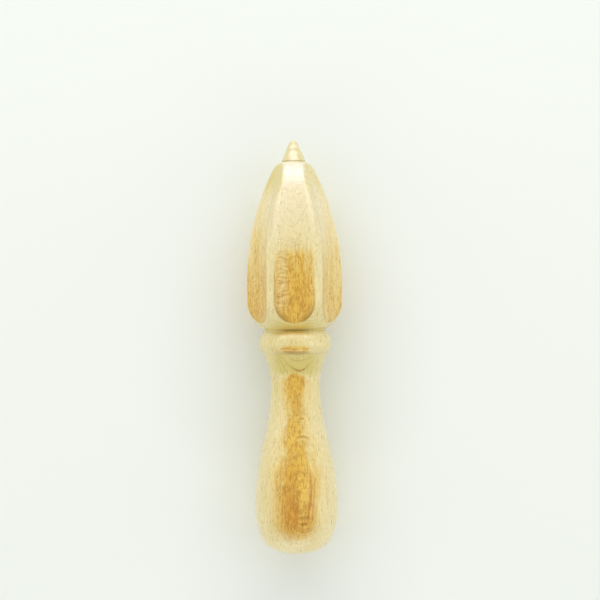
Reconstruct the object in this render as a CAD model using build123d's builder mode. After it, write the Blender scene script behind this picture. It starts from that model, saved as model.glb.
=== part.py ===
"""Wooden citrus reamer: a fluted, pointed head, a bead, a waisted neck and a swelling handle,
turned from one piece of beech. Millimetres. It lies on its side on the surface z = 0, its turning
axis along +Y with the tip at +Y, one flute facing straight up. The origin is on that surface,
below the middle of the length."""
import os
from math import asin, atan2, cos, hypot, pi, sin, sqrt, tan

from build123d import *

# Lengths along the turning axis, from the butt to the tip
handle_length = 80.6
bead_length = 8.5
groove_width = 0.8
head_length = 66.5
tip_groove_width = 0.5
tip_length = 8.3

# Handle: a domed butt, a full belly and a narrow waist below the bead
belly_diameter = 33.0
belly_from_butt = 18.0
waist_diameter = 19.7
waist_to_bead = 12.6
butt_dome_radius = 25.0
butt_edge_diameter = 24.8
butt_rounding = 10.0
swell_share = 0.55  # of the way from belly to waist, where the outward curve turns inward

# Bead between neck and head, and the V-groove that parts it from the head
bead_diameter = 29.0
bead_crown_from_neck = 3.2
bead_neck_diameter = 26.1
bead_top_diameter = 24.8
groove_depth = 0.7

# Head: an ogive with a short straight belt at its widest, and a rounded foot
head_diameter = 38.2
head_foot_length = 11.4
head_belt_length = 6.7
head_shoulder_diameter = 16.4
head_shoulder_length = 3.0
head_top_diameter = 10.0

# Tip: a small cone with a rounded nose, behind a fine turned line
tip_base_diameter = 9.6
tip_groove_depth = 0.3
tip_nose_radius = 1.85

# Flutes: shallow scoops along the head, all alike, that leave a ridge between each two
flute_count = 6
flute_cut_radius = 19.0
flute_exit_share = 0.92  # of the ogive's lean at the shoulder, where the flute's floor runs out
ridge_width = 3.2
ridge_top_width = 1.2
ridge_rounding = 0.7

# Stations along the axis, worked out from the lengths
bead_station = handle_length
groove_station = bead_station + bead_length
head_station = groove_station + groove_width
belt_station = head_station + head_foot_length
ogive_station = belt_station + head_belt_length
head_top_station = head_station + head_length
shoulder_station = head_top_station - head_shoulder_length
tip_station = head_top_station + tip_groove_width
overall_length = tip_station + tip_length

belly_radius = belly_diameter / 2
waist_radius = waist_diameter / 2
head_radius = head_diameter / 2
shoulder_radius = head_shoulder_diameter / 2
tip_base_radius = tip_base_diameter / 2


def scoop_distance(turned_radius, land_width):
    """Distance from the turning axis to the centre of the scoop's circle, where the head has that
    turned radius and the ridge beside the flute is that wide: the circle passes through its edge."""
    rim_angle = pi / flute_count - land_width / (2 * turned_radius)
    rim_side = turned_radius * sin(rim_angle)
    return turned_radius * cos(rim_angle) + sqrt(flute_cut_radius**2 - rim_side**2)


# The flute's floor runs parallel to the axis, bends in, and runs straight out past the shoulder
scoop_offset = scoop_distance(head_radius, ridge_width)
floor_radius = scoop_offset - flute_cut_radius
floor_shoulder_radius = scoop_distance(shoulder_radius, ridge_top_width) - flute_cut_radius
ogive_lean = 2 * atan2(head_radius - shoulder_radius, shoulder_station - ogive_station)
exit_lean = flute_exit_share * ogive_lean
bend_radius = (floor_radius - floor_shoulder_radius) / (1 - cos(exit_lean))
floor_start = (floor_radius, head_station)
floor_bend = (floor_radius, shoulder_station - bend_radius * sin(exit_lean))
floor_shoulder = (floor_shoulder_radius, shoulder_station)
floor_exit = (floor_shoulder_radius - head_shoulder_length * tan(exit_lean), head_top_station)

# The head rests on the rounded ridges either side of its lowest flute. A ridge's rounding touches
# the head's outer circle from inside and the scoop's circle from outside, which places its centre
ridge_reach = head_radius - ridge_rounding
scoop_reach = flute_cut_radius + ridge_rounding
ridge_centre_height = (ridge_reach**2 - scoop_reach**2 + scoop_offset**2) / (2 * scoop_offset)
axis_height = ridge_centre_height + ridge_rounding

# Half of the turned outline is drawn beside the axis: x is the radius, y the distance from the butt
outline_plane = Plane(origin=(0, -overall_length / 2, axis_height))
turning_axis = Axis(outline_plane.origin, outline_plane.y_dir)
turning_plane = Plane(outline_plane.origin, x_dir=(0, 0, 1), z_dir=(0, 1, 0))

butt_edge_radius = butt_edge_diameter / 2
butt_edge = (butt_edge_radius, butt_dome_radius - sqrt(butt_dome_radius**2 - butt_edge_radius**2))
belly = (belly_radius, belly_from_butt)
waist = (waist_radius, handle_length - waist_to_bead)
swell = (
    belly_radius + swell_share * (waist_radius - belly_radius),
    belly_from_butt + swell_share * (waist[1] - belly_from_butt),
)
bead_neck = (bead_neck_diameter / 2, bead_station)
bead_crown = (bead_diameter / 2, bead_station + bead_crown_from_neck)
bead_top = (bead_top_diameter / 2, groove_station)
groove_root = (bead_top_diameter / 2 - groove_depth, groove_station + groove_width / 2)
head_foot = (bead_top_diameter / 2, head_station)
belt_low = (head_radius, belt_station)
belt_high = (head_radius, ogive_station)
head_shoulder = (shoulder_radius, shoulder_station)
head_top = (head_top_diameter / 2, head_top_station)
tip_groove_root = (tip_base_radius - tip_groove_depth, head_top_station + tip_groove_width / 2)
tip_base = (tip_base_radius, tip_station)

# The cone's side leans in until it touches the round nose
nose_height = tip_length - tip_nose_radius
tip_lean = atan2(tip_base_radius, nose_height) - asin(tip_nose_radius / hypot(tip_base_radius, nose_height))
nose_centre = (0, tip_station + nose_height)
nose_start = (tip_nose_radius * cos(tip_lean), nose_centre[1] + tip_nose_radius * sin(tip_lean))
apex = (0, overall_length)

# One scoop, drawn about its own upright axis with the butt at the origin: a circle that stands on
# the flute's floor and is carried along it
with BuildPart() as scoop:
    with BuildLine(Plane.XZ) as floor_line:
        Line(floor_start, floor_bend)
        TangentArc(floor_bend, floor_shoulder, tangent=(0, 1))
        Line(floor_shoulder, floor_exit)
    with BuildSketch(Plane.XY.offset(head_station)):
        with Locations((scoop_offset, 0)):
            Circle(flute_cut_radius)
    sweep(path=floor_line.line)

# The reamer: the turned outline, then the flutes cut along the head, their rims sanded round
with BuildPart() as reamer_body:
    with BuildSketch(outline_plane) as outline:
        with BuildLine():
            TangentArc((0, 0), butt_edge, tangent=(1, 0))
            TangentArc(belly, butt_edge, tangent=(0, -1))
            handle_swell = TangentArc(belly, swell, tangent=(0, 1))
            TangentArc(swell, waist, tangent=handle_swell % 1)
            TangentArc(waist, bead_neck, tangent=(0, 1))
            TangentArc(bead_crown, bead_neck, tangent=(0, -1))
            TangentArc(bead_crown, bead_top, tangent=(0, 1))
            Polyline(bead_top, groove_root, head_foot)
            TangentArc(belt_low, head_foot, tangent=(0, -1))
            Line(belt_low, belt_high)
            ogive = TangentArc(belt_high, head_shoulder, tangent=(0, 1))
            TangentArc(head_shoulder, head_top, tangent=ogive % 1)
            Polyline(head_top, tip_groove_root, tip_base, nose_start)
            TangentArc(apex, nose_start, tangent=(1, 0))
            Line(apex, (0, 0))
        make_face()
        fillet(outline.vertices().sort_by_distance(butt_edge)[0], butt_rounding)
    revolve(axis=turning_axis)
    with Locations(turning_plane):
        with PolarLocations(0, flute_count):
            add(scoop.part, mode=Mode.SUBTRACT)
    fillet(reamer_body.edges(Select.NEW), ridge_rounding)

reamer_body.part.label = "reamer_body"
os.makedirs("parts", exist_ok=True)
export_step(reamer_body.part, "parts/reamer_body.step")
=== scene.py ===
"""Wooden citrus reamer, turned and fluted from one piece of pale beech, lying on a pale floor.
Metres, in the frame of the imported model: the turning axis runs along Y with the tip at +Y, one
flute faces straight up, and the lowest ridges touch z = 0."""

import bpy
import numpy as np
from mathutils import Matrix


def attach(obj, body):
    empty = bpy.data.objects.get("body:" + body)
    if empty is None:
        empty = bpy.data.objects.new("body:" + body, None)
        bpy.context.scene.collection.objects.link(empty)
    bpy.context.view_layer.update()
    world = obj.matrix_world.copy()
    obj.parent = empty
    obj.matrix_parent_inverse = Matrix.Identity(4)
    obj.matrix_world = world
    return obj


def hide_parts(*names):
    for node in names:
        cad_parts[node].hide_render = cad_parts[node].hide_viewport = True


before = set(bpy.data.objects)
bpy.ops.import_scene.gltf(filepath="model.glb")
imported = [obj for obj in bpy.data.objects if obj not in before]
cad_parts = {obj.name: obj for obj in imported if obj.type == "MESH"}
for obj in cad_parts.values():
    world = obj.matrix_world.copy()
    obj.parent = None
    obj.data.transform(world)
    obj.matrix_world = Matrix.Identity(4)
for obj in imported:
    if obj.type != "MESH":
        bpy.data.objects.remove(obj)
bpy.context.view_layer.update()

# The reamer body is one beech blank. It is turned between centres to its outline, with a cone, a
# bead and a fine V-groove, then six flutes are milled along the head, and all of it is sanded and
# given a thin coat of food-safe oil.

# Stations along the axis from the butt, and radii, in millimetres
overall_length = 165.2
dome_radius, butt_edge_radius, butt_rounding = 25.0, 12.4, 10.0
belly_radius, belly_station = 16.5, 18.0
waist_radius, waist_station = 9.85, 68.0
swell_share = 0.55  # of the way from belly to waist, where the outward curve turns inward
neck_radius, bead_station = 13.05, 80.6
crown_radius, crown_station = 14.5, 83.8
foot_radius, groove_station, groove_width, groove_depth = 12.4, 89.1, 0.8, 0.7
head_station = groove_station + groove_width
head_radius, belt_station, ogive_station = 19.1, 101.3, 108.0
shoulder_radius, shoulder_station = 8.2, 153.4
top_radius, top_station = 5.0, 156.4
tip_radius, tip_station, tip_groove_depth = 4.8, 156.9, 0.3
nose_radius = 1.85
cone_low_station, cone_high_station, cone_line_width, cone_line_depth = 161.3, 163.7, 0.5, 0.055
sanding_width = 0.12
outline_step = 0.05


def tangent_arc(start, end, lean, count=60):
    """Points (radius, station) on the arc from start to end that sets off along lean. It turns by
    twice the angle between lean and its chord. The point a share t along it lies half of t times
    that turn away from lean, at the chord's length times sin(t * turn / 2) / sin(turn / 2). The
    direction in which the arc ends comes back too."""
    start, end, lean = np.array(start), np.array(end), np.array(lean) / np.hypot(*lean)
    chord = end - start
    turn = 2 * np.arctan2(lean[0] * chord[1] - lean[1] * chord[0], lean @ chord)
    share = np.linspace(0, 1, count + 1)
    reach = np.hypot(*chord) * np.sin(share * turn / 2) / np.sin(turn / 2)
    heading = np.arctan2(lean[1], lean[0]) + share * turn / 2
    points = start + reach[:, None] * np.stack([np.cos(heading), np.sin(heading)], axis=1)
    end_heading = np.arctan2(lean[1], lean[0]) + turn
    return points, (np.cos(end_heading), np.sin(end_heading))


def rounded_butt():
    """The butt from its middle to the belly: the flat dome and the belly's arc, joined by a circle
    that touches both from inside. Its centre is a dome radius less its own from the dome's centre,
    and the belly's arc radius less its own from that arc's centre."""
    dome_centre = np.array([0, dome_radius])
    edge = np.array([butt_edge_radius, dome_radius - np.sqrt(dome_radius**2 - butt_edge_radius**2)])
    step_in, step_down = belly_radius - edge[0], belly_station - edge[1]
    belly_arc = (step_in**2 + step_down**2) / (2 * step_in)
    belly_centre = np.array([belly_radius - belly_arc, belly_station])
    apart = belly_centre - dome_centre
    distance_apart = np.hypot(*apart)
    dome_reach, belly_reach = dome_radius - butt_rounding, belly_arc - butt_rounding
    along = (distance_apart**2 + dome_reach**2 - belly_reach**2) / (2 * distance_apart)
    off_line = np.sqrt(dome_reach**2 - along**2)
    unit = apart / distance_apart
    centre = dome_centre + along * unit + off_line * np.array([-unit[1], unit[0]])
    dome_touch = dome_centre + dome_radius * (centre - dome_centre) / dome_reach
    belly_touch = belly_centre + belly_arc * (centre - belly_centre) / belly_reach
    dome, lean = tangent_arc((0, 0), dome_touch, (1, 0))
    corner, _ = tangent_arc(dome_touch, belly_touch, lean)
    belly, _ = tangent_arc((belly_radius, belly_station), belly_touch, (0, -1))
    return [dome, corner, belly[::-1]]


def turned_outline():
    """The outline from butt to tip as (radius, station), outline_step apart, arc after arc. Each
    line on the cone takes off its depth times a bell curve of its width. The outline is then
    averaged over a bell curve sanding_width wide, which rounds its sharp corners as sanding does.
    Past both ends it goes on as its own mirror image, so the middle of butt and tip stay smooth."""
    belly, waist = np.array([belly_radius, belly_station]), np.array([waist_radius, waist_station])
    swell = belly + swell_share * (waist - belly)
    hip, lean = tangent_arc(belly, swell, (0, 1))
    hollow, _ = tangent_arc(swell, waist, lean)
    neck, _ = tangent_arc(waist, (neck_radius, bead_station), (0, 1))
    crown = (crown_radius, crown_station)
    bead_low, _ = tangent_arc(crown, (neck_radius, bead_station), (0, -1))
    bead_high, _ = tangent_arc(crown, (foot_radius, groove_station), (0, 1))
    groove = [(foot_radius - groove_depth, groove_station + groove_width / 2)]
    foot, _ = tangent_arc((head_radius, belt_station), (foot_radius, head_station), (0, -1))
    head_shoulder = (shoulder_radius, shoulder_station)
    ogive, lean = tangent_arc((head_radius, ogive_station), head_shoulder, (0, 1))
    shoulder, _ = tangent_arc(head_shoulder, (top_radius, top_station), lean)
    tip_groove = (tip_radius - tip_groove_depth, (top_station + tip_station) / 2)
    nose_height = overall_length - tip_station - nose_radius
    cone_side = np.hypot(tip_radius, nose_height)
    lean = np.arctan2(tip_radius, nose_height) - np.arcsin(nose_radius / cone_side)
    nose_start = nose_radius * np.array([np.cos(lean), np.sin(lean)])
    nose_start += (0, overall_length - nose_radius)
    nose, _ = tangent_arc((0, overall_length), nose_start, (1, 0))
    handle = [*rounded_butt(), hip, hollow, neck]
    head = [bead_low[::-1], bead_high, groove, foot[::-1], ogive, shoulder]
    tip = [[tip_groove, (tip_radius, tip_station)], nose[::-1]]
    points = np.concatenate(handle + head + tip)

    walked = np.concatenate([[0], np.cumsum(np.hypot(*np.diff(points, axis=0).T))])
    points, walked = points[np.diff(walked, prepend=-1) > 1e-9], np.unique(walked)
    even = np.linspace(0, walked[-1], int(walked[-1] / outline_step))
    radius, station = np.interp(even, walked, points[:, 0]), np.interp(even, walked, points[:, 1])
    for cone_line in (cone_low_station, cone_high_station):
        radius -= cone_line_depth * np.exp(-(((station - cone_line) / cone_line_width) ** 2))
    reach = round(5 * sanding_width / outline_step)
    bell = np.exp(-(np.arange(-reach, reach + 1) * outline_step / sanding_width) ** 2)
    bell /= bell.sum()
    radius = np.concatenate([-radius[reach:0:-1], radius, -radius[-2 : -reach - 2 : -1]])
    station = np.concatenate([station[reach:0:-1], station, station[-2 : -reach - 2 : -1]])
    return np.convolve(radius, bell, "valid"), np.convolve(station, bell, "valid")


# The flutes: a round cutter follows a floor line that is parallel to the axis, bends in along the
# ogive and runs straight out past the shoulder
flute_count, cutter_radius = 6, 19.0
ridge_width, ridge_top_width, ridge_rounding = 3.2, 1.2, 0.7
exit_share, rim_softness = 0.92, 0.36


def cutter_distance(radius, width):
    """How far the cutter's centre is from the turning axis where it leaves a ridge that wide on a
    head of that radius: the cutter's circle passes through the ridge's edge."""
    angle = np.pi / flute_count - width / (2 * radius)
    return radius * np.cos(angle) + np.sqrt(cutter_radius**2 - (radius * np.sin(angle)) ** 2)


floor_radius = cutter_distance(head_radius, ridge_width) - cutter_radius
floor_shoulder = cutter_distance(shoulder_radius, ridge_top_width) - cutter_radius
ogive_length = shoulder_station - ogive_station
exit_lean = exit_share * 2 * np.arctan2(head_radius - shoulder_radius, ogive_length)
bend_radius = (floor_radius - floor_shoulder) / (1 - np.cos(exit_lean))
bend_station = shoulder_station - bend_radius * np.sin(exit_lean)

# The head rests on the rounded ridges beside its lowest flute. A ridge's rounding touches the
# head's outer circle from inside and the cutter's circle from outside, which places its centre
axis_reach = head_radius - ridge_rounding
cutter_reach = cutter_radius + ridge_rounding
cutter_centre = floor_radius + cutter_radius
ridge_height = (axis_reach**2 - cutter_reach**2 + cutter_centre**2) / (2 * cutter_centre)
axis_height = ridge_height + ridge_rounding


def flute_height(off_flute, station):
    """Height of a flute's surface above the turning axis, at a distance off_flute from the flute's
    middle. The cutter's circle rises from the floor line by its sag. The floor line is level, then
    an arc of bend_radius that sags with it, then a straight line that falls at exit_lean."""
    sag = cutter_radius - np.sqrt(cutter_radius**2 - off_flute**2)
    into_bend = np.clip(station - bend_station, 0, bend_radius * np.sin(exit_lean))
    bend = floor_radius - bend_radius + np.sqrt((bend_radius + sag) ** 2 - into_bend**2)
    return bend - np.maximum(station - shoulder_station, 0) * np.tan(exit_lean)


# The mesh's rows crowd together at the butt, the crease below the bead, the V-groove, the flute
# ends, the tip's groove and the cone. Its columns crowd together in a band along each flute's rim
busy_stations = np.array([2.0, 80.6, 89.5, 95.5, 156.5, 162.6])
busy_widths = np.array([4.0, 1.0, 1.2, 3.8, 2.4, 4.0])
crowding_share = 3.2
row_count, floor_columns, rim_columns, ridge_columns = 300, 14, 8, 4
sector = 360 / flute_count
rim_band, lowest_rim, highest_rim = 1.4, 21, 27  # degrees from the flute's middle
flute_overrun, clear_of_flutes = 0.1, 9
closing_rounds = 6
least_cut, most_cut = -1, 4


def reamer_surface():
    """The whole skin as a grid of rows along the outline and columns round the axis. A point's
    radius is the smaller of the turned radius and the flute's, softened where they meet: less
    rim_softness / 4 times (1 - difference / rim_softness) squared. The flute's radius is its
    height over the cosine of the angle from the flute's middle. That height depends on the radius
    itself, so both are worked out closing_rounds times over. The depth of the flute's cut below
    the turned surface comes back too, in millimetres; it is negative where nothing is cut."""
    radius, station = turned_outline()
    crowds = np.exp(-(((station[:, None] - busy_stations) / busy_widths) ** 4))
    crowding = 1 + crowding_share * crowds.max(axis=1)
    progress = np.concatenate([[0], np.cumsum((crowding[1:] + crowding[:-1]) / 2)])
    picks = np.interp(np.linspace(0, progress[-1], row_count), progress, np.arange(len(radius)))
    turned = np.interp(picks, np.arange(len(radius)), radius)[1:-1, None]
    station = np.interp(picks, np.arange(len(radius)), station)
    ends, station = station[[0, -1]], station[1:-1, None]

    centre = flute_height(np.zeros_like(station), station) + cutter_radius
    meeting = (turned**2 + centre**2 - cutter_radius**2) / (2 * turned * centre)
    rim = np.degrees(np.arccos(np.clip(meeting, -1, 1)))
    rim = np.clip(rim, lowest_rim, highest_rim)
    floor_part = np.linspace(0, 1, floor_columns, endpoint=False) * (rim - rim_band)
    rim_part = rim + np.linspace(-rim_band, rim_band, rim_columns, endpoint=False)
    ridge_share = np.linspace(0, 1, ridge_columns, endpoint=False)
    ridge_part = rim + rim_band + ridge_share * (sector / 2 - rim - rim_band)
    half = np.concatenate([floor_part, rim_part, ridge_part], axis=1)
    mirrored = sector - np.concatenate([np.full_like(rim, sector / 2), half[:, :0:-1]], axis=1)
    whole = np.concatenate([half, mirrored], axis=1)
    angle = np.concatenate([whole + sector * turn for turn in range(flute_count)], axis=1)
    off_middle = np.radians((angle + sector / 2) % sector - sector / 2)
    angle = np.radians(angle)

    flute = np.broadcast_to(turned, angle.shape)
    for _ in range(closing_rounds):
        flute = flute_height(flute * np.sin(off_middle), station) / np.cos(off_middle)
    on_head = (station > head_station) & (station < top_station + flute_overrun)
    flute = np.where(on_head, flute, turned + clear_of_flutes)
    meet = np.clip(1 - abs(flute - turned) / rim_softness, 0, 1)
    skin = np.minimum(turned, flute) - rim_softness / 4 * meet**2
    cut = np.clip(turned - flute, least_cut, most_cut)

    across, up = skin * np.sin(angle), skin * np.cos(angle)
    along = np.broadcast_to(station, skin.shape)
    grid = np.stack([across, along - overall_length / 2, up + axis_height], axis=2).reshape(-1, 3)
    poles = [(0, end - overall_length / 2, axis_height) for end in ends]
    rows, columns = skin.shape
    corner = np.arange(rows * columns).reshape(rows, columns)
    following = np.roll(corner, -1, axis=1)
    quads = np.stack([corner[:-1], following[:-1], following[1:], corner[1:]], axis=2)
    butt_pole, tip_pole = np.full(columns, rows * columns), np.full(columns, rows * columns + 1)
    butt_fan = np.stack([butt_pole, following[0], corner[0]], axis=1)
    tip_fan = np.stack([tip_pole, corner[-1], following[-1]], axis=1)
    points = np.concatenate([grid, poles]) * 0.001
    return points, [quads.reshape(-1, 4), butt_fan, tip_fan], np.append(cut, [least_cut] * 2)


points, faces, cut = reamer_surface()
reamer_mesh = bpy.data.meshes.new("reamer_body_wood")
reamer_mesh.from_pydata(points, [], [tuple(face) for part in faces for face in part.tolist()])
reamer_mesh.shade_smooth()
cut_mark = reamer_mesh.attributes.new("cut_depth", "FLOAT", "POINT")
cut_mark.data.foreach_set("value", cut.astype(np.float32))
reamer = bpy.data.objects.new("reamer_body_wood", reamer_mesh)
bpy.context.scene.collection.objects.link(reamer)

# Its wood: pale cream sapwood with an amber streak, faint growth rings round a pith far below the
# reamer, and brown spindles where the rays end. The rays stand upright, so the spindles are thin
# dashes on top and wider flecks on the flanks.
beech = bpy.data.materials.new("oiled_beech")
beech.use_nodes = True
grain = beech.node_tree
oiled_wood = grain.nodes["Principled BSDF"]


def pigment(red, green, blue):
    """Linear colour of a display colour given from 0 to 255."""
    display = np.array([red, green, blue]) / 255
    linear = np.where(display <= 0.04045, display / 12.92, ((display + 0.055) / 1.055) ** 2.4)
    return (*linear.tolist(), 1)


def add_node(tree, kind, sockets=(), **settings):
    """Adds a node to the tree, with its settings, and sets or links its inputs."""
    made = tree.nodes.new(kind)
    for key, value in settings.items():
        setattr(made, key, value)
    for key, value in dict(sockets).items():
        if isinstance(value, bpy.types.NodeSocket):
            tree.links.new(value, made.inputs[key])
        else:
            made.inputs[key].default_value = value
    return made


def put(kind, sockets=(), **settings):
    """Adds a node to the beech."""
    return add_node(grain, kind, sockets, **settings)


def reckon(operation, first, *others):
    """The operation on one value, or on the first and the second, then on that and the third."""
    if not others:
        return put("ShaderNodeMath", {0: first}, operation=operation).outputs[0]
    for other in others:
        first = put("ShaderNodeMath", {0: first, 1: other}, operation=operation).outputs[0]
    return first


def times(*values):
    """The values multiplied together."""
    return reckon("MULTIPLY", *values)


def total(*values):
    """The values added together."""
    return reckon("ADD", *values)


def less(value, taken):
    """The value less what is taken from it."""
    return reckon("SUBTRACT", value, taken)


def largest(*values):
    """The largest of the values."""
    return reckon("MAXIMUM", *values)


def distance(value, middle):
    """How far the value is from the middle."""
    return reckon("ABSOLUTE", less(value, middle))


def between(value, low, high, start=0, end=1):
    """Eases from start to end while value goes from low to high, whichever of them is larger."""
    sockets = {"Value": value, "From Min": low, "From Max": high, "To Min": start, "To Max": end}
    return put("ShaderNodeMapRange", sockets, interpolation_type="SMOOTHSTEP").outputs[0]


def span(value, rise, fall):
    """Eases from 0 to 1 while value goes through rise, and back to 0 while it goes through fall."""
    return times(between(value, *rise), between(value, *fall, 1, 0))


def line_at(value, middle, solid, edge, amount=1):
    """A soft line where value is middle: the amount within solid of it, and nothing past edge."""
    return between(distance(value, middle), solid, edge, amount, 0)


def station_place(station):
    """Place along Y, in metres, of a station in millimetres from the butt."""
    return (station - overall_length / 2) * 0.001


def stretched(size, source):
    """Coordinates in which a cell or a blotch of the wood is that many millimetres in x, y, z."""
    scale = tuple(1000 / length for length in size)
    return put("ShaderNodeMapping", {"Vector": source, "Scale": scale}).outputs[0]


def mottle(size, source, detail=3, roughness=0.5):
    """Soft noise whose blotches have that size in millimetres."""
    sockets = {"Scale": 1, "Detail": detail, "Roughness": roughness}
    sockets["Vector"] = stretched(size, source)
    return put("ShaderNodeTexNoise", sockets).outputs[0]


def spindles(size, solid, edge):
    """Loose spindles, one to each cell of that size in millimetres, fading from solid to edge."""
    cells = put("ShaderNodeTexVoronoi", {"Vector": stretched(size, fibre), "Scale": 1})
    return between(cells.outputs["Distance"], solid, edge, 1, 0)


# Where a point of the wood is: across, along and up in metres, and how deep a flute is cut there
place = put("ShaderNodeTexCoord").outputs["Object"]
axis_x, axis_y, axis_z = put("ShaderNodeSeparateXYZ", {0: place}).outputs
off_axis = reckon("ABSOLUTE", axis_x)
upper_side = between(axis_z, 0.009, 0.0165)
cut_depth = put("ShaderNodeAttribute", attribute_name="cut_depth").outputs["Fac"]
fluted = between(cut_depth, 0, 0.3)
turned_only = less(1, fluted)

# The grain wanders a little sideways along the blank, in long sweeps with small waves on them.
# Pale fibres take their noise from further along, so that they don't lie on the dark ones
sweep = times(less(mottle((14, 60, 14), place, detail=2), 0.5), 0.0024)
wave = times(less(mottle((7, 9, 7), place, detail=1), 0.5), 0.0006)
sway = total(sweep, wave)
wandering = put("ShaderNodeCombineXYZ", {0: sway, 2: sway}).outputs[0]
fibre = put("ShaderNodeVectorMath", {0: place, 1: wandering}, operation="ADD").outputs[0]
next_fibre = put("ShaderNodeMapping", {"Vector": fibre, "Location": (0.02, 0.03, 0.01)}).outputs[0]

# Growth rings round a pith 60 mm below the axis and 10 mm to the left, so that they close into
# long ovals on the crest of the belly. Each ends in a thin dark line, and some are darker than
# others. One ring shows as a dark loop where the neck widens
pith, ring_width = (-0.0104, 0, -0.0425), 0.00113
from_pith = put("ShaderNodeVectorMath", {0: fibre, 1: pith}, operation="SUBTRACT").outputs[0]
flat = put("ShaderNodeVectorMath", {0: from_pith, 1: (1, 0, 1)}, operation="MULTIPLY").outputs[0]
ring_reach = put("ShaderNodeVectorMath", {0: flat}, operation="LENGTH").outputs["Value"]
ring_count = reckon("DIVIDE", ring_reach, ring_width)
ring_age = reckon("FRACT", ring_count)
ring_number = {"W": reckon("FLOOR", ring_count)}
ring_tone = put("ShaderNodeTexWhiteNoise", ring_number, noise_dimensions="1D").outputs["Value"]
late_wood = times(reckon("POWER", ring_age, 9), between(ring_age, 0.97, 1, 1, 0))
ring_patch = between(mottle((7, 9, 7), place, detail=2), 0.4, 0.6, 0.25, 1)
crest = line_at(axis_x, 0.0018, 0.0028, 0.006)
late_wood = times(late_wood, between(ring_tone, 0, 1, 0.7, 1), largest(ring_patch, crest))
neck_ring = times(between(ring_age, 0.8, 0.93, 0, 0.8), between(ring_age, 0.98, 1, 1, 0))
neck_ring = times(neck_ring, line_at(axis_x, 0.0012, 0.0025, 0.0055))
neck_ring = times(neck_ring, span(axis_y, (-0.0125, -0.0112), (-0.0086, -0.0075)))
late_wood = largest(late_wood, neck_ring)
ring_shade = times(ring_tone, between(ring_age, 0, 1, 0.4, 1))

# Ray spindles, a coarse sparse set and a fine dense one
ray_patch = between(mottle((5, 14, 9), fibre), 0.36, 0.56, 0.25, 1)
rays = times(spindles((0.8, 5, 9), 0.08, 0.24), ray_patch)
small_rays = spindles((0.8, 2.1, 4), 0.14, 0.4)

# Fibres and fine pores, long along the grain, and wider soft streaks
fibres = mottle((0.25, 6, 0.25), fibre, detail=4, roughness=0.65)
veins = between(mottle((0.75, 3, 0.75), fibre, detail=2, roughness=0.55), 0.5, 0.63)
pale_fibres = between(mottle((0.7, 2.6, 0.7), next_fibre, detail=2), 0.52, 0.66)
specks = between(mottle((0.75, 1.5, 0.75), fibre, detail=2), 0.54, 0.66)
streaks = mottle((1.5, 24, 1.5), fibre, detail=3)
cloud = mottle((9, 26, 9), place, detail=2)

# Curly figure lies across the grain in patches, as short wavy ripples, and fine lathe lines run
# round the turned wood
curl = between(mottle((3.4, 0.7, 3.4), fibre, detail=1.5, roughness=0.55), 0.44, 0.64)
ripple = times(curl, between(mottle((4, 11, 4), place, detail=2), 0.46, 0.6))
lathe = times(mottle((40, 0.5, 40), place, detail=3, roughness=0.7), turned_only)

# The amber streak runs along the middle of the blank, a dark core with a paler skirt, and frays
# along the fibres: its sides and its ends follow places that are frayed much or only a little
fray = less(mottle((0.8, 16, 0.8), fibre, detail=3, roughness=0.65), 0.5)
end_fray = less(mottle((2, 14, 2), fibre, detail=3, roughness=0.6), 0.5)
frayed_x, steady_x = total(axis_x, times(fray, 0.005)), total(axis_x, times(fray, 0.0016))
frayed_y, steady_y = total(axis_y, times(end_fray, 0.006)), total(axis_y, times(end_fray, 0.0016))
streak_middle = between(axis_y, -0.055, -0.03, 0.0003, -0.0002)
narrowing = between(axis_y, -0.06, -0.02, 1, 0.74)
off_streak = reckon("DIVIDE", distance(frayed_x, streak_middle), narrowing)

# It is weaker on the underside, and its left edge is sharp at the belly
lower_share = between(upper_side, 0, 1, 0.45, 1)
left_edge = between(axis_y, -0.068, -0.054, -0.0086, -0.0068)
above_belly = between(axis_y, -0.046, -0.038)
inside_edge = largest(between(steady_x, left_edge, -0.0044, 0.12, 1), above_belly)
core = times(between(off_streak, 0.0026, 0.009, 1, 0), inside_edge, lower_share)
right_skirt = between(axis_y, -0.05, -0.062, 1.02, 0.66)
skirt = times(between(off_streak, 0.003, 0.0158, 0.84, 0), between(axis_y, -0.03, -0.056, 0.5, 1))
skirt = times(skirt, between(frayed_x, 0.004, 0.008, 1, right_skirt), lower_share)

# In the handle it begins above the butt, is darkest at the belly and ends in the neck. Two pale
# gaps open on its right, above the belly and below the neck
belly_reach = less(frayed_y, between(frayed_x, 0.0015, 0.006, 0, 0.0014))
belly_end = between(belly_reach, -0.0774, -0.0674)
neck_end = between(total(steady_y, times(off_streak, 0.35)), -0.0114, -0.0084, 1, 0)
neck_gap = span(frayed_y, (-0.039, -0.033), (-0.0195, -0.0155))
neck_gap = times(neck_gap, between(frayed_x, 0.0004, 0.003))
belly_gap = span(frayed_y, (-0.051, -0.048), (-0.041, -0.037))
belly_gap = times(belly_gap, between(frayed_x, 0.002, 0.0038, 0, 0.42))
gap_share = less(between(neck_gap, 0, 1, 1, 0.72), belly_gap)
neck_strength = between(axis_y, -0.026, -0.014, 0, 0.26)
strength = total(between(axis_y, -0.024, -0.056, 0.72, 1.12), neck_strength)
handle_amber = largest(times(core, gap_share), skirt)
handle_amber = times(handle_amber, belly_end, neck_end, strength)

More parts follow.
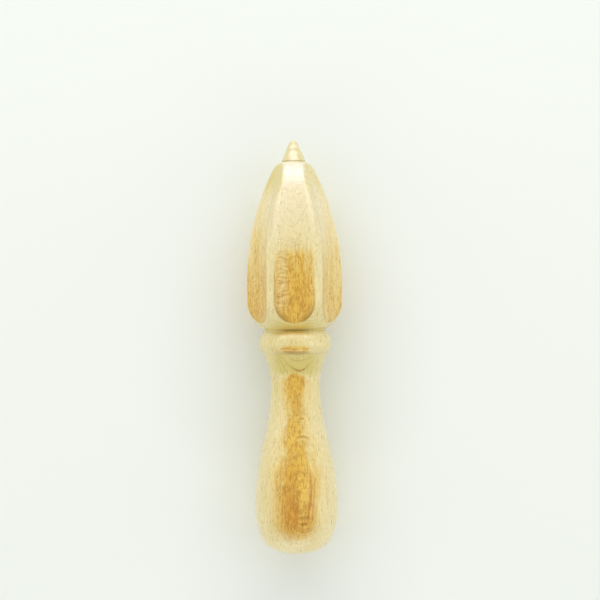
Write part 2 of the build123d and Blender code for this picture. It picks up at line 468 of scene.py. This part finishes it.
# The bead holds a trace of it low down and a fainter one along its top edge, and the head's foot
# holds a third
bead_lines = mottle((5, 0.8, 5), place, detail=2)
bead_reach = total(axis_y, times(less(bead_lines, 0.5), 0.003))
bead_low = times(between(axis_y, -0.0024, -0.0014), between(bead_reach, -0.0006, 0.0016, 1, 0))
bead_low = times(bead_low, between(bead_lines, 0.36, 0.56, 0.6, 1.2))
bead_low = times(bead_low, between(off_streak, 0.005, 0.0098, 1, 0))
bead_high = span(axis_y, (0.0044, 0.0058), (0.0064, 0.0066))
bead_high = times(bead_high, between(off_streak, 0.004, 0.009, 0.4, 0))
foot_amber = times(span(axis_y, (0.0062, 0.0066), (0.008, 0.014)), turned_only)
foot_amber = times(foot_amber, between(off_streak, 0.004, 0.0098, 0.4, 0))
bead_amber = times(total(bead_low, bead_high, foot_amber), upper_side)

# On the head it colours the floors of the flutes: most in the top one, up to where it bends in,
# and fainter and longer on those at the sides and below
off_head = distance(frayed_x, 0.0018)
top_flute = times(between(frayed_y, 0.035, 0.0415, 1, 0.2), between(axis_y, 0.02, 0.034, 1, 0.68))
top_flute = times(top_flute, between(off_head, 0.0026, 0.0072, 1, 0.62))
side_flutes = between(frayed_y, 0.016, 0.056, 0.58, 0.23)
side_flutes = times(side_flutes, between(axis_x, -0.006, 0.006, 1.3, 1))
far_side = largest(between(off_head, 0.0075, 0.011), between(upper_side, 0, 1, 1, 0))
flutes = put("ShaderNodeMix", {0: far_side, 2: top_flute, 3: side_flutes}).outputs[0]
head_amber = times(flutes, between(axis_y, 0.0065, 0.0085), fluted)
amber = total(handle_amber, bead_amber, head_amber)
amber = times(amber, between(streaks, 0.3, 0.64, 0.64, 1.14))
in_amber = between(amber, 0.2, 0.9)

# The belly's core is the darkest wood. Its skirt is stained beside it, and above the butt it fades
# through a yellower brown
right_part = between(frayed_y, -0.0665, -0.071, 0, 0.9)
deep = times(between(frayed_x, -0.0006, 0.0022, 1, right_part), between(axis_y, -0.037, -0.068))
deep = times(deep, core, belly_end)
stain = times(skirt, less(1, core), belly_end, between(axis_y, -0.035, -0.056))
stain = times(stain, between(frayed_x, 0.002, 0.006, 0.3, 0.08))
fading = times(belly_end, less(1, belly_end), core, 1.8)

# Curly wood: the right of the belly, the neck's streak, and a paler strip on the left of the top
# flute
curly = times(span(frayed_x, (0.0002, 0.0014), (0.0042, 0.006)), belly_end, upper_side)
curly = times(curly, between(axis_y, -0.047, -0.053))
strip = times(between(frayed_x, -0.0008, -0.0044), between(axis_x, -0.0082, -0.0066))
strip = times(strip, between(axis_y, 0.012, 0.02), between(frayed_y, 0.039, 0.034))
strip = times(strip, fluted, upper_side)
neck_curl = times(core, neck_end, between(axis_y, -0.043, -0.035, 0, 0.14))
curl_amount = times(curl, total(times(curly, 0.26), neck_curl, times(strip, 0.28)))

# Two dark lines along the grain end the curly wood on the right of the belly
line_place = between(axis_y, -0.07, -0.056, 0.0044, 0.0058)
inner_line = line_at(steady_x, line_place, 0.0001, 0.0008)
outer_line = line_at(steady_x, total(line_place, 0.0014), 0.0001, 0.0006, 0.6)
dark_lines = times(largest(inner_line, outer_line), upper_side)
dark_lines = times(dark_lines, span(frayed_y, (-0.0715, -0.066), (-0.053, -0.048)))

# Short dark marks lie across the grain: an arc and a dash in the neck's gap, and a lens, a broad
# band and two low arcs at the foot of the curly wood
arc_level = total(axis_y, times(end_fray, 0.0012))


def arc_mark(middle_x, middle_y, half_width, droop, thickness):
    """A dark arc across the grain that fades at its ends: it lies where y is middle_y less droop
    times the square of (x - middle_x) / half_width."""
    aside = reckon("DIVIDE", less(axis_x, middle_x), half_width)
    level = total(arc_level, times(aside, aside, droop))
    ends = between(reckon("ABSOLUTE", aside), 0.4, 1, 1, 0)
    return times(line_at(level, middle_y, 0.0001, thickness), ends, upper_side)


neck_dash = arc_mark(0.0024, -0.0281, 0.0012, 0.0001, 0.0006)
neck_arc = arc_mark(0.0026, -0.0349, 0.0034, 0.0011, 0.0008)
lens = arc_mark(0.0027, -0.0688, 0.0021, -0.0002, 0.001)
band = arc_mark(0.0028, -0.0664, 0.0034, -0.0001, 0.001)
outer_arc = arc_mark(0.003, -0.0719, 0.0046, -0.0016, 0.0006)
inner_arc = arc_mark(0.0032, -0.0709, 0.0034, -0.0008, 0.0006)
belly_marks = largest(lens, times(band, 0.7), times(largest(outer_arc, inner_arc), 0.55))

# Painted shade: higher up, the flutes at the sides are a little darker beside the two top ridges,
# which stand at 0.52 radians from straight up
above_axis = less(axis_z, axis_height * 0.001)
round_from_top = reckon("ARCTAN2", off_axis, above_axis)
ridge_side_shade = span(round_from_top, (0.5, 0.57), (0.66, 0.82))
ridge_side_shade = times(ridge_side_shade, span(axis_y, (0.041, 0.05), (0.06, 0.066)), 0.24)

# Painted shade: an olive darkening where the surface turns away from the lamp beyond the tip, on
# the neck and the foot, which face the butt, on the flanks of the shoulder and the cone, and in the
# cone's two lines. A weak olive tint also lies over the neck and the bead, more on the left
neck_shade = span(axis_y, (-0.0135, -0.0085), (-0.0024, -0.0019))
foot_shade = times(span(axis_y, (0.0064, 0.0068), (0.0095, 0.045)), turned_only)
foot_shade = times(foot_shade, between(axis_y, 0.009, 0.013, 1, 0.5))
foot_shade = times(foot_shade, between(axis_y, 0.0068, 0.0092, 0.6, 1))
waist_shade = times(largest(neck_shade, foot_shade), between(off_axis, 0.004, 0.011, 1, 0.36))
neck_bead_olive = span(axis_y, (-0.03, -0.014), (0.006, 0.0066))
neck_bead_olive = times(neck_bead_olive, between(axis_x, -0.005, 0.002, 0.34, 0.16))
shoulder_shade = span(axis_y, (0.056, 0.068), (0.0725, 0.0738))
shoulder_shade = times(shoulder_shade, between(off_axis, 0.0035, 0.005, 0, 0.5))
shoulder_shade = times(shoulder_shade, between(axis_x, -0.003, 0.003, 1.5, 1))
cone_flank_shade = times(between(axis_y, 0.0738, 0.0742), between(off_axis, 0.001, 0.0024, 0.1, 0.5))
cone_low = line_at(axis_y, station_place(cone_low_station), 0.0002, 0.001, 0.5)
cone_high = line_at(axis_y, station_place(cone_high_station), 0.0002, 0.0008, 0.4)
cone_shade = largest(cone_flank_shade, cone_low, cone_high)
olive_tint_and_shade = largest(waist_shade, neck_bead_olive, shoulder_shade, cone_shade)

# The head is paler towards the tip, and its flecks are fainter there. A painted highlight whitens
# the top flute's run-out. The bead's lower half shows hardly any flecks
pale_head = between(axis_y, 0.03, 0.064, 0, 0.9)
flute_top_highlight = span(axis_y, (0.061, 0.068), (0.0724, 0.0736))
flute_top_highlight = times(flute_top_highlight, between(off_axis, 0.0032, 0.0048, 0.6, 0))
tip_share = between(axis_y, 0.034, 0.056, 1, 0.6)
on_bead = span(axis_y, (-0.0024, -0.002), (0.0014, 0.003))
fleck_share = times(less(1, times(on_bead, 0.85)), tip_share)

# How strongly the rings, fibres, flecks and ripples show on each kind of wood. Rings are plainest
# on the butt and under the olive tint and painted shade
butt_face = between(axis_y, -0.0816, -0.08, 0.7, 0)
ring_share = largest(between(in_amber, 0, 1, 0.22, 0.56), olive_tint_and_shade, butt_face)
pale_share = total(between(in_amber, 0, 1, 0, 0.3), times(deep, 0.1))
vein_share = total(between(in_amber, 0, 1, 0.1, 0.6), times(deep, 0.4))
speck_share = times(in_amber, between(fluted, 0, 1, 0.18, 0.5))
bead_dark = times(on_bead, in_amber, between(bead_lines, 0.5, 0.6, 0, 0.6))
flute_ripple = times(ripple, fluted, between(far_side, 0, 1, 1, 0.4))
flute_ripple = times(flute_ripple, between(in_amber, 0, 1, 0.16, 0.42))

# Dark lines: painted shade in the V-groove, in the crease below the bead and in the groove under
# the cone, and along the flute ends partly painted shade and partly burnish. The V-groove first
# gets a painted light, most on its flanks, and the first two lines are dark in the middle and faint
# at the sides
v_groove = line_at(axis_y, station_place(groove_station + groove_width / 2), 0.0001, 0.0006)
crease = line_at(axis_y, station_place(bead_station), 0.0002, 0.0009)
tip_line = line_at(axis_y, station_place((top_station + tip_station) / 2), 0.0001, 0.0004)
groove_middle = between(distance(axis_x, 0.0001), 0.0015, 0.0085, 1, 0.1)
groove_flank_light = times(v_groove, between(groove_middle, 0, 1, 0.85, 0.45))
flute_end = times(between(axis_y, 0.0205, 0.0115), between(off_axis, 0.001, 0.0038, 0.3, 1))
flute_end = times(flute_end, between(off_axis, 0.0088, 0.0105, 1, 0.3))
end_shade_and_burnish = times(span(cut_depth, (-0.1, 0.15), (0.25, 0.9)), flute_end)
turned_line_shade = times(largest(v_groove, times(crease, 1.15)), groove_middle)
shade_and_burnish_lines = times(largest(turned_line_shade, times(tip_line, 0.4), end_shade_and_burnish), 0.64)

# Painted shade, soft and brown, inside the flute's end and along the top flute's left rim. A brown
# band lies on the bead's upper edge
left_rim_shade = times(span(axis_x, (-0.0105, -0.0088), (-0.0068, -0.0056)), upper_side)
left_rim_shade = times(left_rim_shade, between(axis_y, 0.028, 0.022, 0, 0.45))
rim_shade = times(span(cut_depth, (-0.4, 0.05), (0.4, 2.6)), between(axis_y, 0.009, 0.0112))
rim_shade = times(rim_shade, largest(flute_end, left_rim_shade), 0.7)
bead_brown = times(line_at(frayed_x, -0.0012, 0.003, 0.0095), between(axis_y, 0.0036, 0.0062))
bead_brown = times(bead_brown, between(axis_y, 0.0058, 0.0062, 1, 0.3))
bead_brown = times(bead_brown, between(axis_y, 0.0063, 0.0066, 1, 0), upper_side)

# The colour starts as sapwood. Each tint is laid over it and the tints before, by its amount
sapwood = (240, 229, 177)
tints = [
    (between(cloud, 0.3, 0.7), (234, 220, 160)),
    (pale_head, (243, 234, 200)),
    # painted highlight on the top flute's run-out
    (flute_top_highlight, (243, 239, 228)),
    # painted shade where the surface faces away from the lamp, with a weak olive tint on neck and
    # bead
    (olive_tint_and_shade, (211, 200, 110)),
    (between(amber, -0.1, 0.85), (231, 201, 100)),
    (between(amber, 0.3, 1.1), (231, 187, 66)),
    (times(deep, 0.88), (200, 131, 0)),
    (stain, (200, 160, 56)),
    # painted shade beside the two top ridges
    (ridge_side_shade, (196, 172, 98)),
    (fading, (206, 168, 40)),
    (times(curly, 0.9), (244, 204, 88)),
    (times(strip, between(axis_y, 0.023, 0.034, 0.75, 0.2)), (238, 212, 134)),
    (dark_lines, (194, 132, 0)),
    (times(largest(neck_dash, neck_arc), 0.75), (180, 132, 4)),
    (belly_marks, (166, 108, 0)),
    (times(late_wood, ring_share), (160, 106, 6)),
    (times(ring_shade, between(in_amber, 0, 1, 0.04, 0.2)), (188, 128, 6)),
    (times(pale_fibres, pale_share), (240, 202, 98)),
    (times(veins, vein_share, fleck_share), (186, 125, 0)),
    (times(specks, speck_share, fleck_share), (186, 128, 0)),
    (times(between(fibres, 0.38, 0.68, 0, 0.3), tip_share), (190, 144, 44)),
    (times(small_rays, between(in_amber, 0, 1, 0.14, 0.58), fleck_share), (172, 116, 0)),
    (bead_dark, (164, 110, 4)),
    (times(rays, tip_share, 0.5), (154, 100, 24)),
    (total(flute_ripple, curl_amount), (172, 114, 6)),
    # painted shade in the flute's end and along the top flute's left rim
    (rim_shade, (168, 126, 4)),
    # painted light on the V-groove's flanks
    (groove_flank_light, (250, 233, 152)),
    # painted shade in the grooves and crease, and along the flute ends partly burnish
    (shade_and_burnish_lines, (160, 124, 0)),
    (bead_brown, (190, 152, 46)),
]
wood_colour = pigment(*sapwood)
for amount, display_colour in tints:
    layers = {0: amount, 6: wood_colour, 7: pigment(*display_colour)}
    wood_colour = put("ShaderNodeMix", layers, data_type="RGBA").outputs[2]
grain.links.new(wood_colour, oiled_wood.inputs["Base Color"])

# The sanded surface: fibres, lathe lines and ripples stand up a little, and rays lie lower. The
# oil leaves a thin satin film
relief = total(times(fibres, 0.5), times(lathe, 1.8), times(ripple, 0.5), times(rays, -0.2))
bump = put("ShaderNodeBump", {"Height": relief, "Strength": 0.35, "Distance": 0.00012}).outputs[0]
grain.links.new(bump, oiled_wood.inputs["Normal"])
grain.links.new(bump, oiled_wood.inputs["Coat Normal"])
grain.links.new(between(fibres, 0.3, 0.7, 0.38, 0.52), oiled_wood.inputs["Roughness"])
oiled_wood.inputs["Specular IOR Level"].default_value = 0.25
oiled_wood.inputs["Coat Weight"].default_value = 1
oiled_wood.inputs["Coat IOR"].default_value = 1.6
oiled_wood.inputs["Coat Roughness"].default_value = 0.22

reamer_mesh.materials.append(beech)
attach(reamer, "root")
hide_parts("reamer_body")

# The floor is a wide sheet of matt pale paper that keeps the reamer's soft shadow. Far from the
# reamer the camera sees it in the even tone of the air beyond, so that no edge or horizon shows
studio_tone = (0.855, 0.888, 0.845, 1)
floor_reach, even_from, even_past = 6, 0.25, 0.7
floor_mesh = bpy.data.meshes.new("studio_floor")
edges = np.array([-floor_reach, floor_reach])
corners = np.stack([*np.meshgrid(edges, edges), np.zeros((2, 2))], axis=2).reshape(-1, 3)
floor_mesh.from_pydata(corners, [], [(0, 1, 3, 2)])
floor = bpy.data.objects.new("studio_floor", floor_mesh)
bpy.context.scene.collection.objects.link(floor)
paper = bpy.data.materials.new("matt_paper")
paper.use_nodes = True
sheet = paper.node_tree
matt = sheet.nodes["Principled BSDF"]
matt.inputs["Base Color"].default_value = studio_tone
matt.inputs["Roughness"].default_value = 0.9
even_tone = add_node(sheet, "ShaderNodeEmission", {"Color": studio_tone})
floor_place = add_node(sheet, "ShaderNodeTexCoord").outputs["Object"]
from_reamer = add_node(sheet, "ShaderNodeVectorMath", {0: floor_place}, operation="LENGTH")
reaches = {"Value": from_reamer.outputs["Value"], "From Min": even_from, "From Max": even_past}
far_off = add_node(sheet, "ShaderNodeMapRange", reaches, interpolation_type="SMOOTHSTEP")
seen = add_node(sheet, "ShaderNodeLightPath").outputs["Is Camera Ray"]
shown = add_node(sheet, "ShaderNodeMath", {0: far_off.outputs[0], 1: seen}, operation="MULTIPLY")
mixed = {0: shown.outputs[0], 1: matt.outputs[0], 2: even_tone.outputs[0]}
floor_shader = add_node(sheet, "ShaderNodeMixShader", mixed)
sheet.links.new(floor_shader.outputs[0], sheet.nodes["Material Output"].inputs["Surface"])
floor_mesh.materials.append(paper)

# Soft boxes: a long strip beyond the tip, and wide weak ones on each side and beyond the butt.
# Each has its place, its width and height in metres, and its watts
soft_boxes = {
    "tip_box": ((0, 1.02, 0.74), (2.2, 0.14), 10),
    "left_box": ((-1.3, 0, 0.55), (1.0, 1.8), 3),
    "right_box": ((1.3, 0, 0.55), (1.0, 1.8), 3.4),
    "butt_box": ((0, -1.3, 0.5), (2.2, 1.0), 7),
}
for name, (spot, size, watts) in soft_boxes.items():
    lamp = bpy.data.lights.new(name, "AREA")
    lamp.shape, lamp.size, lamp.size_y, lamp.energy = "RECTANGLE", size[0], size[1], watts
    box = bpy.data.objects.new(name, lamp)
    box.location = spot
    box.visible_camera = False
    box.rotation_euler = (-box.location).to_track_quat("-Z", "Y").to_euler()
    bpy.context.scene.collection.objects.link(box)

# The air lights the reamer evenly, and shows the camera the floor's own tone
world = bpy.data.worlds.new("studio_air")
world.use_nodes = True
air = world.node_tree
air.nodes["Background"].inputs["Color"].default_value = (1, 1, 0.98, 1)
air.nodes["Background"].inputs["Strength"].default_value = 0.6
shown_air = add_node(air, "ShaderNodeBackground", {"Color": studio_tone}).outputs[0]
seen = add_node(air, "ShaderNodeLightPath").outputs["Is Camera Ray"]
airs = {0: seen, 1: air.nodes["Background"].outputs[0], 2: shown_air}
air_shader = add_node(air, "ShaderNodeMixShader", airs)
air.links.new(air_shader.outputs[0], air.nodes["World Output"].inputs["Surface"])
bpy.context.scene.world = world

# The camera hangs straight above the reamer, turned by half a degree as the reamer lies askew
lens_data = bpy.data.cameras.new("camera")
lens_data.lens, lens_data.sensor_width = 100, 36
lens_data.clip_start, lens_data.clip_end = 0.05, 20
camera = bpy.data.objects.new("camera", lens_data)
camera.location = (0.00213, 0.01876, 0.6839)
camera.rotation_euler = (0, 0, np.radians(-0.527))
bpy.context.scene.collection.objects.link(camera)
bpy.context.scene.camera = camera
bpy.context.scene.view_settings.view_transform = "Standard"
